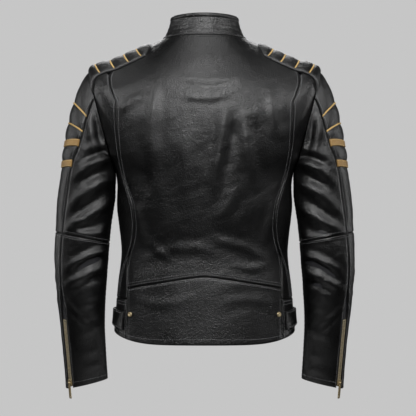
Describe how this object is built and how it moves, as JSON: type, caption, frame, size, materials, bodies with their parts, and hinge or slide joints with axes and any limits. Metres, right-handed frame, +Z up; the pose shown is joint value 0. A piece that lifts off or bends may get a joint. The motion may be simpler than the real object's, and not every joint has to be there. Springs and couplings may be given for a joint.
{
  "type": "leather riding jacket",
  "caption": "Hip-length fitted leather riding jacket with stand collar, centre zip, striped padded shoulders and sleeves, zipped cuffs and side waist tabs.",
  "frame": {"origin": "centre of the hem opening, level with the hem at the sides", "axes": "+Z up, the wearer faces -Y, the wearer's left is +X"},
  "size_m": [0.6196, 0.2361, 0.7891],
  "materials": {
    "leather": "fine pebble grain, semi-gloss",
    "padded_leather": "fine pebble grain over padding",
    "mustard_leather": "smooth, satin",
    "lining": "woven, satin",
    "tape": "woven tape",
    "antique_brass": "antiqued",
    "zip_metal": "antiqued"
  },
  "bodies": {
    "jacket_body": {"back_centre_panel": "leather", "back_waist_panel": "leather", "back_side_panel_left": "leather", "back_side_panel_right": "leather", "side_gusset_left": "leather", "side_gusset_right": "leather", "side_hem_panel_left": "leather", "side_hem_panel_right": "leather", "front_centre_panel_left": "leather", "front_centre_panel_right": "leather", "front_side_panel_left": "leather", "front_side_panel_right": "leather", "shoulder_pad_left": "padded_leather", "shoulder_pad_right": "padded_leather", "shoulder_piping": "mustard_leather", "body_lining": "lining", "collar_band": "leather", "collar_binding": "leather", "collar_lining": "lining", "hanger_loop": "leather", "snap_studs": "antique_brass", "front_zip_tapes": "tape", "front_zip_teeth": "zip_metal", "pocket_welts": "leather", "pocket_bags": "lining", "pocket_zip_teeth": "zip_metal"},
    "front_slider": {"front_zip_slider": "antique_brass"},
    "front_pull": {"front_zip_pull": "antique_brass"},
    "collar_tab": {"collar_tab": "leather", "collar_tab_cap": "antique_brass"},
    "sleeve_left": {"sleeve_stripe_panel_left": "padded_leather", "sleeve_back_panel_left": "leather", "sleeve_front_panel_left": "leather", "sleeve_stripes_left": "mustard_leather", "elbow_gusset_left": "leather"},
    "forearm_left": {"forearm_outer_panel_left": "leather", "forearm_back_panel_left": "leather", "forearm_front_panel_left": "leather", "cuff_zip_tapes_left": "tape", "cuff_zip_teeth_left": "zip_metal"},
    "cuff_slider_left": {"cuff_zip_slider_left": "antique_brass"},
    "cuff_pull_left": {"cuff_zip_pull_left": "antique_brass"},
    "pocket_slider_left": {"pocket_zip_slider_left": "antique_brass"},
    "pocket_pull_left": {"pocket_zip_pull_left": "antique_brass"},
    "waist_tab_left": {"waist_tab_left": "leather"},
    "sleeve_right": {"sleeve_stripe_panel_right": "padded_leather", "sleeve_back_panel_right": "leather", "sleeve_front_panel_right": "leather", "sleeve_stripes_right": "mustard_leather", "elbow_gusset_right": "leather"},
    "forearm_right": {"forearm_outer_panel_right": "leather", "forearm_back_panel_right": "leather", "forearm_front_panel_right": "leather", "cuff_zip_tapes_right": "tape", "cuff_zip_teeth_right": "zip_metal"},
    "cuff_slider_right": {"cuff_zip_slider_right": "antique_brass"},
    "cuff_pull_right": {"cuff_zip_pull_right": "antique_brass"},
    "pocket_slider_right": {"pocket_zip_slider_right": "antique_brass"},
    "pocket_pull_right": {"pocket_zip_pull_right": "antique_brass"},
    "waist_tab_right": {"waist_tab_right": "leather"}
  },
  "joints": [
    {"name": "front_zip_slide", "type": "slide", "parent": "jacket_body", "child": "front_slider", "axis": [0, 0.0427, 0.9991], "range_m": [-0.515, 0]},
    {"name": "front_pull_swing", "type": "hinge", "parent": "front_slider", "child": "front_pull", "pos_m": [0, -0.09067, 0.53819], "axis": [-1, 0, 0], "range_deg": [0, 160]},
    {"name": "collar_tab_open", "type": "hinge", "parent": "jacket_body", "child": "collar_tab", "pos_m": [0.02696, -0.08525, 0.59018], "axis": [-0.0135, 0.0615, 0.998], "range_deg": [0, 100]},
    {"name": "sleeve_swing_left", "type": "hinge", "parent": "jacket_body", "child": "sleeve_left", "pos_m": [0.2085, 0, 0.4245], "axis": [-0.9671, 0, 0.2545], "range_deg": [-15, 35]},
    {"name": "elbow_bend_left", "type": "hinge", "parent": "sleeve_left", "child": "forearm_left", "pos_m": [0.251, 0, 0.14], "axis": [-1, 0, 0], "range_deg": [0, 50]},
    {"name": "cuff_zip_slide_left", "type": "slide", "parent": "forearm_left", "child": "cuff_slider_left", "axis": [0.0659, 0.2296, 0.9711], "range_m": [0, 0.12]},
    {"name": "cuff_pull_swing_left", "type": "hinge", "parent": "cuff_slider_left", "child": "cuff_pull_left", "pos_m": [0.28007, -0.02453, -0.10961], "axis": [0.7091, -0.6954, 0.1163], "range_deg": [0, 150]},
    {"name": "pocket_zip_slide_left", "type": "slide", "parent": "jacket_body", "child": "pocket_slider_left", "axis": [-0.2183, -0.0357, 0.9752], "range_m": [-0.105, 0]},
    {"name": "pocket_pull_swing_left", "type": "hinge", "parent": "pocket_slider_left", "child": "pocket_pull_left", "pos_m": [0.09698, -0.09265, 0.18019], "axis": [-0.894, -0.3934, -0.2145], "range_deg": [0, 150]},
    {"name": "waist_tab_open_left", "type": "hinge", "parent": "jacket_body", "child": "waist_tab_left", "pos_m": [0.18429, -0.01957, 0.03323], "axis": [0.0731, -0.0077, -0.9973], "range_deg": [0, 45]},
    {"name": "sleeve_swing_right", "type": "hinge", "parent": "jacket_body", "child": "sleeve_right", "pos_m": [-0.2085, 0, 0.4245], "axis": [-0.9671, 0, -0.2545], "range_deg": [-15, 35]},
    {"name": "elbow_bend_right", "type": "hinge", "parent": "sleeve_right", "child": "forearm_right", "pos_m": [-0.251, 0, 0.14], "axis": [-1, 0, 0], "range_deg": [0, 50]},
    {"name": "cuff_zip_slide_right", "type": "slide", "parent": "forearm_right", "child": "cuff_slider_right", "axis": [-0.0659, 0.2296, 0.9711], "range_m": [0, 0.12]},
    {"name": "cuff_pull_swing_right", "type": "hinge", "parent": "cuff_slider_right", "child": "cuff_pull_right", "pos_m": [-0.28007, -0.02453, -0.10961], "axis": [0.7091, 0.6954, -0.1163], "range_deg": [0, 150]},
    {"name": "pocket_zip_slide_right", "type": "slide", "parent": "jacket_body", "child": "pocket_slider_right", "axis": [0.2183, -0.0357, 0.9752], "range_m": [-0.105, 0]},
    {"name": "pocket_pull_swing_right", "type": "hinge", "parent": "pocket_slider_right", "child": "pocket_pull_right", "pos_m": [-0.09698, -0.09265, 0.18019], "axis": [-0.894, 0.3934, 0.2145], "range_deg": [0, 150]},
    {"name": "waist_tab_open_right", "type": "hinge", "parent": "jacket_body", "child": "waist_tab_right", "pos_m": [-0.18429, -0.01957, 0.03323], "axis": [0.0731, 0.0077, 0.9973], "range_deg": [0, 45]}
  ]
}
